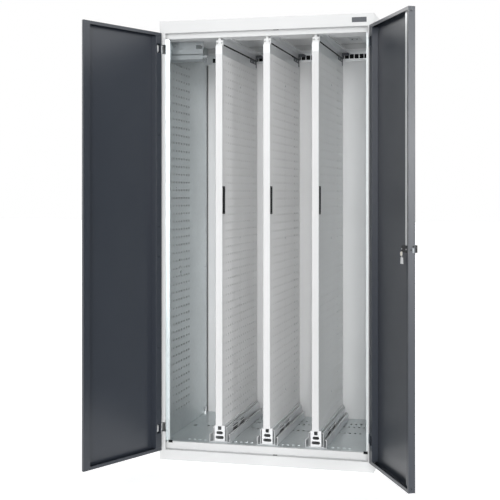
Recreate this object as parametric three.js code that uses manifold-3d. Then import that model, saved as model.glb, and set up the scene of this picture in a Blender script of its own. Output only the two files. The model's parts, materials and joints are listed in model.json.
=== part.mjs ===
// Upright storage cabinet: a steel carcass with two hinged doors and three vertical
// perforated panels that pull out to the front on floor runners and top guide rails.
// Millimetres, +Z up, the doors face -Y. The origin is the middle of the underside.
// The doors stand open, the panels are pushed in.

import * as THREE from 'three';
import { mergeVertices } from 'three/addons/utils/BufferGeometryUtils.js';
import Module from 'manifold-3d';

const wasm = await Module();
wasm.setup();

// Driving dimensions
const cabinet = { width: 1000, depth: 700, height: 2030 };
const sheet = 1.5;
const seat = 0.3;
const overrun = 4;
const grid = 0.001;
const roof = { height: 56 };
const base = { height: 47 };
const post = { width: 28, radius: 4, lip: 4, rearFlange: 20, steps: 4 };
const lintel = { drop: 23 };
const threshold = { rise: 32 };
const doorway = { fold: 12 };
const floor = { step: 1, edge: 18 };
const liner = { inset: 12.5 };
const backPanel = { recess: 8 };
const ceiling = { drop: 30, railDepth: 150 };
const rearRail = { height: 55, depth: 6, rise: 14 };
const stile = { reveal: 26.2, face: 39 };
const badge = { width: 66, height: 22, thickness: 1.2, side: 33, rise: 17 };
const buffer = { width: 20, height: 12, thickness: 1.2, side: 32 };
const hanger = { front: 110, depth: 10, reach: 161, upper: 37, broad: 24, groove: 6, band: 18, foot: 13 };
const hangerWindow = { width: 32, height: 17, fromEnd: 5, drop: 18 };
const hangerBolt = { radius: 8, proud: 6, side: 18, drop: 15 };
const hangerLug = { radius: 8, reach: 12 };
const anchor = { radius: 6, height: 36, fromBack: 60 };

// Doors
const leaf = { thickness: 30, sideGap: 2, endGap: 2, middleGap: 4, behind: 2 };
const leafFold = { radius: 2.5, steps: 3, endLip: 14, leftLip: 36, rightLip: 10 };
const leafRound = { radius: 28, steps: 7 };
const hingeBox = { width: 36 };
const openLeft = THREE.MathUtils.degToRad(114.6);
const openRight = THREE.MathUtils.degToRad(117.5);
const hinge = { x: 6.5, y: 5.5, pin: 2, barrel: 4.5, height: 40, topRise: 52, bottomRise: 82 };
const hingeArm = { thickness: 3.5, reach: 24, boss: 14, bossDepth: 16, bossInset: 6 };
const hingeEar = { thickness: 3, gap: 1.5, depth: 12, corner: 4.5, pinEnd: 2 };
const hingeWindow = { from: 7, to: 29, margin: 1 };

// Lock in the right door
const lock = { height: 1010, axis: 46, caseFrom: 20, caseTo: 80, caseHeight: 28, caseBack: 1 };
const knob = { rose: 14, roseThickness: 2.7, spindle: 5, width: 13, length: 31, depth: 22 };
const upperRod = { axis: 48, width: 18, thickness: 4 };
const lowerRod = { axis: 44, width: 12, thickness: 4 };
const rod = { depth: 17, inset: 1, clearance: 1.5 };
const keys = { from: 64, width: 24, height: 22, thickness: 2, drop: 8 };
const keyTag = { from: 54, width: 34, narrow: 24, height: 27, gap: 3, neck: 5 };

// Pull-out panels
const panel = { count: 3, pitch: 227, front: 43, thickness: 32, fromBack: 20, bottom: 158 };
const bar = { depth: 8, drop: 77, radius: 2, steps: 2 };
const carrier = { drop: 35, wall: 2, front: 44 };
const grip = { depth: 36, height: 124, wall: 2, middle: 1202 };
const shoe = { left: 13, right: 18, front: 47, length: 16, height: 24, tongue: 20, play: 0.5 };
const shoeHole = { radius: 3.5, rise: 12, inset: 5.5 };
const shoeStem = { width: 12, length: 10 };
const bracket = { inset: 20, length: 120, height: 16, wall: 2.5, hook: 16, hookWidth: 8, slider: 14 };

// Top guide rails, one over each panel
const rail = { offset: 14, width: 40, height: 25.7, lip: 7, front: 64 };

// Floor runners: a fixed channel, a sliding middle member and the panel's own carriage
const channel = { width: 98, height: 37.2, wall: 2, lip: 8, front: 59, fromBack: 50 };
const middle = { width: 68, height: 66.4, wall: 2, lip: 6, front: 62, fromBack: 55 };
const windows = { count: 2, from: 165, pitch: 122, width: 85, height: 36, rise: 18 };
const carriage = { width: 50, wall: 2, front: 57, fromBack: 50 };
const endHole = { radius: 5, widths: [14, 28, 36], rises: [60, 40, 18] };

// Levels and planes that follow from them
const left = -cabinet.width / 2;
const front = -cabinet.depth / 2;
const back = cabinet.depth / 2;
const roofUnder = cabinet.height - roof.height;
const lintelUnder = roofUnder - lintel.drop;
const thresholdTop = base.height + threshold.rise;
const floorTop = thresholdTop + floor.step;
const pocket = leaf.thickness + leaf.behind;
const linerStart = front + pocket + doorway.fold + seat;
const ceilingStart = linerStart + sheet + seat;
const linerFace = left + liner.inset + sheet;
const backFace = back - backPanel.recess;
const rearRailFace = backFace - seat - rearRail.depth;
const ceilingUnder = cabinet.height - ceiling.drop;
const leafWidth = cabinet.width / 2 - post.width - leaf.sideGap - leaf.middleGap / 2;
const leafBottom = base.height + leaf.endGap;
const leafTop = roofUnder - leaf.endGap;
const leafStart = post.width + leaf.sideGap - hinge.x;
const armLevels = [leafBottom + hinge.bottomRise, leafTop - hinge.topRise - hinge.height];
const barTop = lintelUnder - bar.drop;
const carrierTop = lintelUnder - carrier.drop;
const panelRear = cabinet.depth - panel.fromBack;
const bracketRear = panelRear - bracket.inset;
const channelRear = cabinet.depth - channel.fromBack;
const middleRear = cabinet.depth - middle.fromBack;
const carriageRear = cabinet.depth - carriage.fromBack;
const caseBottom = lock.height - lock.caseHeight / 2;
const caseTop = lock.height + lock.caseHeight / 2;

// Materials
const paint = (color, roughness, metalness) =>
  new THREE.MeshStandardMaterial({ color, roughness, metalness });
const bodyPaint = paint(0xe6e8ea, 0.45, 0.1);
const doorPaint = paint(0x3d424b, 0.42, 0.1);
const barPaint = paint(0xf3f5f6, 0.4, 0.1);
const panelPaint = paint(0xb4b8b9, 0.5, 0.2);
const zinc = paint(0xa9b2b4, 0.38, 0.8);
const brightZinc = paint(0xd3d6d8, 0.32, 0.8);
const blackPlastic = paint(0x1b1c1f, 0.5, 0);
const rubber = paint(0x141416, 0.85, 0);
const nylon = paint(0xe9eaeb, 0.5, 0);
const darkPlate = paint(0x55585d, 0.5, 0.1);
const keyMetal = paint(0xd8d2c8, 0.4, 0.3);

// Geometry helpers
const object = new THREE.Group();

// Points are snapped to a fine grid, so that faces that share a level share it exactly
function solid(geometry) {
  const bare = geometry.clone();
  const points = bare.attributes.position;
  points.array.forEach((value, i) => {
    points.array[i] = Math.round(value / grid) * grid;
  });
  bare.deleteAttribute('normal');
  bare.deleteAttribute('uv');
  const merged = mergeVertices(bare);
  const mesh = new wasm.Mesh({
    numProp: 3,
    vertProperties: new Float32Array(merged.attributes.position.array),
    triVerts: new Uint32Array(merged.index.array),
  });
  return new wasm.Manifold(mesh);
}

function geometryOf(manifold) {
  const mesh = manifold.getMesh();
  const geometry = new THREE.BufferGeometry();
  geometry.setAttribute('position', new THREE.BufferAttribute(mesh.vertProperties, 3));
  geometry.setIndex(new THREE.BufferAttribute(mesh.triVerts, 1));
  return geometry;
}

function add(parent, name, manifold, material) {
  const mesh = new THREE.Mesh(geometryOf(manifold), material);
  mesh.name = name;
  parent.add(mesh);
}

// A box between two corners
function box(x0, x1, y0, y1, z0, z1) {
  const geometry = new THREE.BoxGeometry(Math.abs(x1 - x0), y1 - y0, z1 - z0);
  geometry.translate((x0 + x1) / 2, (y0 + y1) / 2, (z0 + z1) / 2);
  return solid(geometry);
}

// An upright round bar
function roundBar(x, y, z0, z1, radius, sides = 20) {
  const geometry = new THREE.CylinderGeometry(radius, radius, z1 - z0, sides);
  geometry.rotateX(Math.PI / 2);
  geometry.translate(x, y, (z0 + z1) / 2);
  return solid(geometry);
}

// A round bar along Y
function roundBarY(x, z, y0, y1, radius, sides = 24) {
  const geometry = new THREE.CylinderGeometry(radius, radius, y1 - y0, sides);
  geometry.translate(x, (y0 + y1) / 2, z);
  return solid(geometry);
}

function shapeOf(points, hole) {
  const shape = new THREE.Shape(points.map(([a, b]) => new THREE.Vector2(a, b)));
  if (hole) shape.holes.push(new THREE.Path(hole.map(([a, b]) => new THREE.Vector2(a, b))));
  return shape;
}

// Prisms with their outline in the XY, XZ and YZ planes
function prismZ(points, z0, z1) {
  const geometry = new THREE.ExtrudeGeometry(shapeOf(points), { depth: z1 - z0, bevelEnabled: false });
  geometry.translate(0, 0, z0);
  return solid(geometry);
}

function prismY(points, y0, y1, hole) {
  const depth = y1 - y0;
  const geometry = new THREE.ExtrudeGeometry(shapeOf(points, hole), { depth, bevelEnabled: false });
  geometry.rotateX(Math.PI / 2);
  geometry.translate(0, y1, 0);
  return solid(geometry);
}

function prismX(points, x0, x1, hole) {
  const depth = x1 - x0;
  const geometry = new THREE.ExtrudeGeometry(shapeOf(points, hole), { depth, bevelEnabled: false });
  const turn = new THREE.Matrix4().makeBasis(
    new THREE.Vector3(0, 1, 0), new THREE.Vector3(0, 0, 1), new THREE.Vector3(1, 0, 0));
  geometry.applyMatrix4(turn);
  geometry.translate(x0, 0, 0);
  return solid(geometry);
}

// A folded strip: the path is its outer line, and the sheet lies to the left of it
function folded(path, thickness) {
  const inner = path.map((point, i) => {
    const before = path[i - 1] ?? point;
    const after = path[i + 1] ?? point;
    const normal = ([ax, ay], [bx, by]) => {
      const length = Math.hypot(bx - ax, by - ay);
      return [-(by - ay) / length, (bx - ax) / length];
    };
    const first = i > 0 ? normal(before, point) : normal(point, after);
    const second = i < path.length - 1 ? normal(point, after) : first;
    const spread = thickness / (1 + first[0] * second[0] + first[1] * second[1]);
    return [point[0] + (first[0] + second[0]) * spread, point[1] + (first[1] + second[1]) * spread];
  });
  return [...path, ...inner.reverse()];
}

// Points of a quarter bend round a centre, from one angle to the next in degrees
function bend(x, y, radius, from, steps) {
  return Array.from({ length: steps + 1 }, (_, i) => {
    const angle = THREE.MathUtils.degToRad(from + (90 * i) / steps);
    return [x + radius * Math.cos(angle), y + radius * Math.sin(angle)];
  });
}

const flipX = (points, side) => points.map(([x, y]) => [x * side, y]);
const join = (...solids) => solids.reduce((all, one) => all.add(one));
const cut = (whole, ...holes) => holes.reduce((rest, hole) => rest.subtract(hole), whole);
const sides = [['left', 1], ['right', -1]];

// Side panels: one folded sheet each, with the post face, cut open where the hinge arms turn
for (const [name, side] of sides) {
  const corner = bend(left + post.radius, front + post.radius, post.radius, 180, post.steps);
  const profile = folded([
    [left + post.rearFlange, back],
    [left, back],
    ...corner,
    [left + post.width, front],
    [left + post.width, front + post.lip],
  ], sheet);
  const body = prismZ(flipX(profile, side), base.height + seat, roofUnder - seat);
  const slots = armLevels.map((level) => box(
    side * (left + sheet), side * (left + post.width + overrun),
    front - overrun, front + post.lip + overrun,
    level - hingeEar.gap, level + hinge.height + hingeEar.gap));
  add(object, `side_panel_${name}`, cut(body, ...slots), bodyPaint);
}

// Door stiles: zinc-plated inner posts that close the side panels and carry the hinge pins
for (const [name, side] of sides) {
  const bottom = thresholdTop + seat;
  const top = lintelUnder - seat;
  const start = front + post.lip + seat;
  const profile = folded([
    [left + stile.face, front + pocket + doorway.fold],
    [left + stile.face, front + pocket],
    [left + stile.reveal + sheet, front + pocket],
    [left + stile.reveal + sheet, start],
  ], -sheet);
  const wall = prismZ(flipX(profile, side), bottom, top);
  const ears = armLevels.flatMap((level) => {
    const lower = level - hingeEar.gap - hingeEar.thickness;
    const upper = level + hinge.height + hingeEar.gap;
    const near = left + sheet + seat;
    const outline = [
      [near + hingeEar.corner - sheet, front + sheet + seat],
      [left + stile.reveal - seat, front + sheet + seat],
      [left + stile.reveal - seat, front + post.lip + seat],
      [left + stile.reveal + sheet / 2, front + post.lip + seat],
      [left + stile.reveal + sheet / 2, front + hingeEar.depth],
      [near, front + hingeEar.depth],
      [near, front + hingeEar.corner],
    ];
    const hole = (z) => roundBar(
      side * (left + hinge.x), front + hinge.y,
      z - overrun / 2, z + hingeEar.thickness + overrun / 2, hinge.pin + seat);
    return [lower, upper].map((z) => cut(
      prismZ(flipX(outline, side), z, z + hingeEar.thickness), hole(z)));
  });
  const slots = armLevels.map((level) => box(
    side * (left + sheet), side * (left + stile.reveal + sheet + overrun / 2),
    front, front + hinge.y + hinge.barrel,
    level - hingeEar.gap, level + hinge.height + hingeEar.gap));
  add(object, `door_stile_${name}`, join(cut(wall, ...slots), ...ears), zinc);
}

// Perforated side liners, with a front fold behind the stile
for (const [name, side] of sides) {
  const profile = folded([
    [left + stile.face, linerStart + sheet],
    [linerFace, linerStart + sheet],
    [linerFace, backFace - seat],
  ], sheet);
  const body = prismZ(flipX(profile, side), floorTop + seat, ceilingUnder - seat);
  add(object, `side_liner_${name}`, body, zinc);
}

// Back panel: a pan whose edges fold back to the rear face
{
  const half = cabinet.width / 2 - post.rearFlange - seat;
  const profile = folded([
    [-half, back], [-half, backFace], [half, backFace], [half, back],
  ], sheet);
  const low = base.height + seat;
  const high = roofUnder - seat;
  const ends = [[low, low + sheet], [high - sheet, high]].map(([z0, z1]) =>
    box(-half, half, backFace, back, z0, z1));
  add(object, 'back_panel', join(prismZ(profile, low, high), ...ends), bodyPaint);
}

// Roof: top sheet, skirts, the folded fascia and the lintel that the doors close against
{
  const outer = box(left, -left, front, back, roofUnder, cabinet.height);
  const inner = box(left + sheet, -left - sheet, front + sheet, back - sheet,
    roofUnder - overrun, cabinet.height - sheet);
  const ledge = box(left, -left, front, front + pocket + sheet, roofUnder, roofUnder + sheet);
  const profile = folded([
    [front + pocket, roofUnder + sheet],
    [front + pocket, lintelUnder],
    [front + pocket + doorway.fold, lintelUnder],
  ], sheet);
  const strip = prismX(profile, left + sheet + seat, -left - sheet - seat);
  const x = -(left + post.width + leaf.sideGap + leafWidth - upperRod.axis);
  const slot = box(x - upperRod.width / 2 - rod.clearance, x + upperRod.width / 2 + rod.clearance,
    front + rod.depth - rod.clearance, front + rod.depth + upperRod.thickness + rod.clearance,
    roofUnder - overrun, roofUnder + sheet + overrun);
  add(object, 'roof', cut(join(cut(outer, inner), ledge, strip), slot), bodyPaint);
}

// Base: bottom sheet, skirts, the ledge under the doors and the threshold behind it
{
  const outer = box(left, -left, front, back, 0, base.height);
  const inner = box(left + sheet, -left - sheet, front + sheet, back - sheet,
    sheet, base.height + overrun);
  const ledge = box(left, -left, front, front + pocket + sheet,
    base.height - sheet, base.height);
  const profile = folded([
    [front + pocket + doorway.fold, thresholdTop],
    [front + pocket, thresholdTop],
    [front + pocket, base.height - sheet],
  ], sheet);
  const strip = prismX(profile, left + sheet + seat, -left - sheet - seat);
  const x = -(left + post.width + leaf.sideGap + leafWidth - lowerRod.axis);
  const slot = box(x - lowerRod.width / 2 - rod.clearance, x + lowerRod.width / 2 + rod.clearance,
    front + rod.depth - rod.clearance, front + rod.depth + lowerRod.thickness + rod.clearance,
    base.height - sheet - overrun, base.height + overrun);
  add(object, 'base', cut(join(cut(outer, inner), ledge, strip), slot), bodyPaint);
}

// Floor sheet with its edges folded down
{
  const start = linerStart;
  const end = backFace - seat;
  const body = box(left + liner.inset, -left - liner.inset, start, end, floorTop - sheet, floorTop);
  const folds = [[start, start + sheet], [end - sheet, end]].map(([y0, y1]) =>
    box(left + liner.inset, -left - liner.inset, y0, y1, floorTop - floor.edge, floorTop));
  add(object, 'floor_sheet', join(body, ...folds), zinc);
}

// Ceiling sheet: it drops at the front to the ledge that carries the guide rails
{
  const profile = folded([
    [ceilingStart, lintelUnder],
    [front + ceiling.railDepth, lintelUnder],
    [front + ceiling.railDepth, ceilingUnder],
    [backFace - seat, ceilingUnder],
  ], sheet);
  add(object, 'ceiling_sheet', prismX(profile, linerFace + seat, -linerFace - seat), zinc);
}

// Rear top rail
{
  const bottom = lintelUnder + rearRail.rise - rearRail.height;
  const profile = folded([
    [backFace - seat, lintelUnder + rearRail.rise],
    [rearRailFace, lintelUnder + rearRail.rise],
    [rearRailFace, bottom],
    [backFace - seat, bottom],
  ], sheet);
  add(object, 'rear_top_rail', prismX(profile, linerFace + seat, -linerFace - seat), brightZinc);
}

// Hanger plate in the left bay, folded into bands, below the front ledge of the ceiling
{
  const near = front + hanger.front;
  const far = near + hanger.depth;
  const top = lintelUnder - seat;
  const broadTop = top - hanger.upper;
  const broadLow = broadTop - hanger.broad;
  const bandTop = broadLow - hanger.groove;
  const bandLow = bandTop - hanger.band;
  const profile = folded([
    [far, top],
    [far, broadTop],
    [near, broadTop],
    [near, broadLow],
    [far, broadLow],
    [far, bandTop],
    [near, bandTop],
    [near, bandLow],
    [far, bandLow - hanger.foot],
  ], sheet);
  const end = linerFace + hanger.reach;
  const body = prismX(profile, linerFace + seat, end);
  const windowTop = top - hangerWindow.drop;
  const opening = box(end - hangerWindow.fromEnd - hangerWindow.width, end - hangerWindow.fromEnd,
    near - overrun, far + sheet + overrun, windowTop - hangerWindow.height, windowTop);
  const bolt = roundBarY(linerFace + hangerBolt.side, top - hangerBolt.drop,
    far - hangerBolt.proud, far + sheet, hangerBolt.radius);
  const lugLevel = bandTop - hangerLug.radius;
  const lug = join(
    roundBarY(end + hangerLug.reach, lugLevel, near, near + hangerBolt.proud, hangerLug.radius),
    box(end - sheet, end + hangerLug.reach, near, near + sheet,
      lugLevel - hangerLug.radius / 2, lugLevel + hangerLug.radius / 2));
  add(object, 'hanger_plate', join(cut(body, opening), bolt, lug), zinc);
}

// Bolt that fixes the cabinet to the ground, in the rear left corner of the floor
add(object, 'anchor_bolt', roundBar(linerFace + seat + anchor.radius, back - anchor.fromBack,
  floorTop + seat, floorTop + seat + anchor.height, anchor.radius), brightZinc);

// Blank name plate on the fascia
{
  const x = -left - badge.side;
  const z = roofUnder + badge.rise;
  add(object, 'name_plate', box(x - badge.width, x, front - seat - badge.thickness, front - seat,
    z, z + badge.height), darkPlate);
}

// Rubber pads on the threshold, which the closed doors meet
for (const [name, side] of sides) {
  const x = left + buffer.side;
  const face = front + pocket - seat;
  add(object, `door_buffer_${name}`, box(
    side * x, side * (x + buffer.width), face - buffer.thickness, face,
    thresholdTop - buffer.height / 2, thresholdTop + buffer.height / 2), rubber);
}

// Doors, built closed round their hinge axis and then turned open
for (const [name, side] of sides) {
  const door = new THREE.Group();
  door.position.set(side * (left + hinge.x), front + hinge.y, 0);
  door.rotation.z = name === 'left' ? -openLeft : openRight;
  object.add(door);
  const across = (u) => side * (leafStart + u);
  const inward = (v) => v - hinge.y;
  const lip = name === 'left' ? leafFold.leftLip : leafFold.rightLip;
  const place = (points) => points.map(([u, v]) => [across(u), inward(v)]);
  const radius = leafFold.radius;
  const meeting = name === 'left' ? leafRound : leafFold;

  const outline = [
    [0, leaf.thickness],
    ...bend(radius, radius, radius, 180, leafFold.steps),
    ...bend(leafWidth - meeting.radius, meeting.radius, meeting.radius, 270, meeting.steps),
    [leafWidth, leaf.thickness],
  ];
  const skin = prismZ(place(folded([...outline, [leafWidth - lip, leaf.thickness]], sheet)),
    leafBottom, leafTop);
  const ends = [
    [leafBottom, leafBottom + sheet],
    [leafTop - sheet, leafTop],
  ].map(([z0, z1]) => prismZ(place(outline), z0, z1));
  const endLips = [
    [leafBottom, leafBottom + leafFold.endLip],
    [leafTop - leafFold.endLip, leafTop],
  ].map(([z0, z1]) =>
    box(across(0), across(leafWidth), inward(leaf.thickness - sheet), inward(leaf.thickness), z0, z1));
  const armSlots = armLevels.map((level) => box(
    across(-overrun), across(sheet + overrun / 2),
    inward(hinge.y - hingeArm.thickness / 2 - seat), inward(hinge.y + hingeArm.thickness / 2 + seat),
    level - seat, level + hinge.height + seat));
  const cuts = [...armSlots];
  if (name === 'right') {
    cuts.push(roundBarY(across(leafWidth - lock.axis), lock.height,
      inward(-overrun), inward(sheet + overrun / 2), knob.spindle + seat));
    for (const [bolt, z] of [[upperRod, leafTop], [lowerRod, leafBottom]]) {
      const u = leafWidth - bolt.axis;
      cuts.push(box(across(u - bolt.width / 2 - seat), across(u + bolt.width / 2 + seat),
        inward(rod.depth - seat), inward(rod.depth + bolt.thickness + seat),
        z - overrun, z + overrun));
    }
  }
  add(door, `door_${name}_shell`, cut(join(skin, ...ends, ...endLips), ...cuts), doorPaint);

  const start = sheet + seat;
  const channelLow = leafBottom + leafFold.endLip + seat;
  const channelHigh = leafTop - leafFold.endLip - seat;
  const stiffener = prismZ(place(folded([
    [radius, start],
    [hingeBox.width, start],
    [hingeBox.width, leaf.thickness],
    [start, leaf.thickness],
  ], sheet)), channelLow, channelHigh);
  const openings = armLevels.map((level) => box(
    across(hingeWindow.from), across(hingeWindow.to),
    inward(leaf.thickness - sheet - overrun / 2), inward(leaf.thickness + overrun),
    level - hingeWindow.margin, level + hinge.height + hingeWindow.margin));
  add(door, `door_${name}_hinge_channel`, cut(stiffener, ...openings), doorPaint);

  armLevels.forEach((level, i) => {
    const top = level + hinge.height;
    const half = hingeArm.thickness / 2;
    const reach = hingeEar.gap + hingeEar.thickness + hingeEar.pinEnd;
    const arm = join(
      roundBar(0, 0, level, top, hinge.barrel),
      roundBar(0, 0, level - reach, top + reach, hinge.pin),
      box(0, across(hingeArm.reach), -half, half, level, top),
      box(across(hingeArm.reach - hingeArm.boss), across(hingeArm.reach), -half,
        hingeArm.bossDepth, level + hingeArm.bossInset, top - hingeArm.bossInset));
    add(door, `door_${name}_hinge_${i === 0 ? 'lower' : 'upper'}`, arm, brightZinc);
  });

  if (name === 'right') {
    const edge = (u) => across(leafWidth - u);
    const faceBack = leaf.thickness - lock.caseBack;
    add(door, 'lock_case', box(edge(lock.caseFrom), edge(lock.caseTo), inward(sheet + seat),
      inward(faceBack), caseBottom, caseTop), blackPlastic);

    const rose = -seat - knob.roseThickness;
    const tip = rose - knob.depth;
    const grab = join(
      roundBarY(edge(lock.axis), lock.height, inward(rose), inward(sheet), knob.spindle),
      roundBarY(edge(lock.axis), lock.height, inward(rose), inward(-seat), knob.rose),
      box(edge(lock.axis - knob.width / 2), edge(lock.axis + knob.width / 2),
        inward(tip), inward(-seat),
        lock.height - knob.length / 2, lock.height + knob.length / 2));
    add(door, 'turn_knob', grab, blackPlastic);

    for (const [label, bolt, z0, z1, finish] of [
      ['upper', upperRod, caseTop + seat, leafTop - rod.inset, brightZinc],
      ['lower', lowerRod, leafBottom + rod.inset, caseBottom - seat, doorPaint],
    ]) {
      add(door, `lock_rod_${label}`, box(
        edge(bolt.axis - bolt.width / 2), edge(bolt.axis + bolt.width / 2),
        inward(rod.depth), inward(rod.depth + bolt.thickness), z0, z1), finish);
    }

    const keyFace = faceBack + seat;
    const keyBack = keyFace + keys.thickness;
    const keyTop = lock.height - keys.drop;
    const keyBottom = keyTop - keys.height;
    const tagTop = keyBottom - keyTag.gap;
    const tagMiddle = keyTag.from + keyTag.width / 2;
    const tag = [
      [edge(tagMiddle + keyTag.width / 2), tagTop - keyTag.height],
      [edge(tagMiddle - keyTag.width / 2), tagTop - keyTag.height],
      [edge(tagMiddle - keyTag.narrow / 2), tagTop],
      [edge(tagMiddle + keyTag.narrow / 2), tagTop],
    ];
    const bunch = join(
      box(edge(keys.from), edge(keys.from + keys.width), inward(keyFace), inward(keyBack),
        keyBottom, keyTop),
      box(edge(tagMiddle - keyTag.neck / 2), edge(tagMiddle + keyTag.neck / 2),
        inward(keyFace), inward(keyBack), tagTop - keyTag.gap, keyBottom + keyTag.gap),
      prismY(tag, inward(keyFace), inward(keyBack)));
    add(door, 'spare_keys', bunch, keyMetal);
  }
}

// Pull-outs with their guide rails and floor runners
for (let i = 0; i < panel.count; i += 1) {
  const number = i + 1;
  const x = (i - (panel.count - 1) / 2) * panel.pitch;
  const half = panel.thickness / 2;
  const bay = new THREE.Group();
  bay.position.set(x, front, 0);
  object.add(bay);

  // Fixed floor channel
  const bed = floorTop + seat;
  const channelHalf = channel.width / 2;
  add(bay, `runner_${number}_channel`, prismY(folded([
    [-channelHalf + channel.lip, bed + channel.height],
    [-channelHalf, bed + channel.height],
    [-channelHalf, bed],
    [channelHalf, bed],
    [channelHalf, bed + channel.height],
    [channelHalf - channel.lip, bed + channel.height],
  ], channel.wall), channel.front, channelRear), brightZinc);

  // Sliding middle member with windows that show its ball cage
  const middleHalf = middle.width / 2;
  const middleBed = bed + channel.wall + seat;
  const middleTop = middleBed + middle.height;
  const member = prismY(folded([
    [-middleHalf + middle.lip, middleTop],
    [-middleHalf, middleTop],
    [-middleHalf, middleBed],
    [middleHalf, middleBed],
    [middleHalf, middleTop],
    [middleHalf - middle.lip, middleTop],
  ], middle.wall), middle.front, middleRear);
  const cages = Array.from({ length: windows.count }, (_, n) => {
    const y = windows.from + n * windows.pitch;
    return box(-middleHalf - overrun, middleHalf + overrun, y, y + windows.width,
      middleBed + windows.rise, middleBed + windows.rise + windows.height);
  });
  add(bay, `runner_${number}_middle`, cut(member, ...cages), brightZinc);

  // Carriage under the panel, with its pierced front plate
  const carriageHalf = carriage.width / 2;
  const carriageLow = middleBed + middle.wall + seat;
  const carriageTop = panel.bottom - seat;
  const carrierBody = prismY(folded([
    [carriageHalf, carriageLow],
    [carriageHalf, carriageTop],
    [-carriageHalf, carriageTop],
    [-carriageHalf, carriageLow],
  ], carriage.wall), carriage.front, carriageRear);
  const plate = box(-carriageHalf, carriageHalf, carriage.front, carriage.front + carriage.wall,
    carriageLow, carriageTop);
  const holes = endHole.widths.flatMap((width, n) => {
    const z = carriageLow + endHole.rises[n];
    const y0 = carriage.front - overrun;
    const y1 = carriage.front + carriage.wall + overrun;
    const reach = width / 2 - endHole.radius;
    return [
      roundBarY(-reach, z, y0, y1, endHole.radius, 12),
      roundBarY(reach, z, y0, y1, endHole.radius, 12),
      box(-reach, reach, y0, y1, z - endHole.radius, z + endHole.radius),
    ];
  });
  add(bay, `runner_${number}_carriage`, cut(join(carrierBody, plate), ...holes), brightZinc);

  // Front bar
  add(bay, `panel_${number}_front_bar`, prismZ(folded([
    [-half, panel.front + bar.depth],
    ...bend(-half + bar.radius, panel.front + bar.radius, bar.radius, 180, bar.steps),
    ...bend(half - bar.radius, panel.front + bar.radius, bar.radius, 270, bar.steps),
    [half, panel.front + bar.depth],
  ], sheet), panel.bottom, barTop), barPaint);

  // Perforated panel: a flat steel tube with a skin on each side and a finger slot through both
  const skinTop = barTop;
  const carrierLow = barTop + seat;
  const start = panel.front + bar.depth + seat;
  const ring = (inset) => [
    [-half + inset, panel.bottom + inset],
    [half - inset, panel.bottom + inset],
    [half - inset, skinTop - inset],
    [-half + inset, skinTop - inset],
  ];
  const gripLow = grip.middle - grip.height / 2;
  const slot = box(-half - overrun, half + overrun, start - overrun, start + grip.depth,
    gripLow, gripLow + grip.height);
  add(bay, `panel_${number}_skins`,
    cut(prismY(ring(0), start, panelRear, ring(sheet)), slot), panelPaint);

  // Plastic sleeve of the finger slot
  const sleeve = (inset) => [
    [start + inset, gripLow + inset],
    [start + grip.depth - inset, gripLow + inset],
    [start + grip.depth - inset, gripLow + grip.height - inset],
    [start + inset, gripLow + grip.height - inset],
  ];
  add(bay, `panel_${number}_grip`,
    prismX(sleeve(seat), -half, half, sleeve(seat + grip.wall)), blackPlastic);

  // Top carrier over the skins: a channel that is open upwards, closed at the front
  const trough = prismY(folded([
    [-half, carrierTop],
    [-half, carrierLow],
    [half, carrierLow],
    [half, carrierTop],
  ], carrier.wall), carrier.front, panelRear);
  const stop = box(-half, half, carrier.front, carrier.front + carrier.wall,
    carrierLow, carrierTop);
  add(bay, `panel_${number}_top_carrier`, join(trough, stop), brightZinc);

  // Nylon guide block: it hangs from the ceiling ledge, and its tongue runs in the carrier
  const blockLow = carrierTop + seat;
  const blockHigh = blockLow + shoe.height;
  const blockRear = shoe.front + shoe.length;
  const tongueHalf = half - carrier.wall - shoe.play;
  const guide = join(
    box(-shoe.left, shoe.right, shoe.front, blockRear, blockLow, blockHigh),
    box(-tongueHalf, tongueHalf, shoe.front, blockRear, blockLow - shoe.tongue, blockHigh),
    box(-shoeStem.width / 2, shoeStem.width / 2, blockRear - shoeStem.length, blockRear,
      blockLow, lintelUnder - seat));
  const eyes = [-shoe.left + shoeHole.inset, shoe.right - shoeHole.inset].map((eye) =>
    roundBarY(eye, blockLow + shoeHole.rise, shoe.front - overrun, blockRear + overrun,
      shoeHole.radius, 12));
  add(bay, `guide_block_${number}`, cut(guide, ...eyes), nylon);

  // Guide rail for the rear of the panel, hung from the ceiling ledge and the rear rail
  const railTop = lintelUnder - seat;
  const railLow = railTop - rail.height;
  const railEnd = rail.offset + rail.width;
  add(bay, `guide_rail_${number}`, prismY(folded([
    [rail.offset, railLow],
    [rail.offset, railTop],
    [railEnd, railTop],
    [railEnd, railTop - rail.lip],
  ], -sheet), rail.front, rearRailFace - front - seat), zinc);

  // Rear bracket beside the carrier: its slider runs in the guide rail, a hook hangs down
  const plateX = half + seat;
  const bracketLow = carrierTop - bracket.height;
  const sliderLow = carrierTop + seat;
  const bracketHigh = railTop - sheet - seat;
  const web = box(plateX, plateX + bracket.wall, bracketRear - bracket.length, bracketRear,
    bracketLow, sliderLow + bracket.wall);
  const arm = box(plateX, plateX + bracket.wall, bracketRear - bracket.hookWidth, bracketRear,
    bracketLow - bracket.hook, bracketHigh);
  const slider = box(rail.offset + sheet + seat, railEnd - sheet - seat,
    bracketRear - bracket.hookWidth, bracketRear, bracketHigh - bracket.slider, bracketHigh);
  add(bay, `panel_${number}_rear_bracket`, join(web, arm, slider), darkPlate);
}

export default object;
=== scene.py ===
"""Looks of the upright storage cabinet, laid out as an add-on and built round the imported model."""
import json
import math

import bmesh
import bpy
from bpy.props import FloatProperty, FloatVectorProperty, IntProperty, PointerProperty
from mathutils import Matrix, Vector


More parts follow.
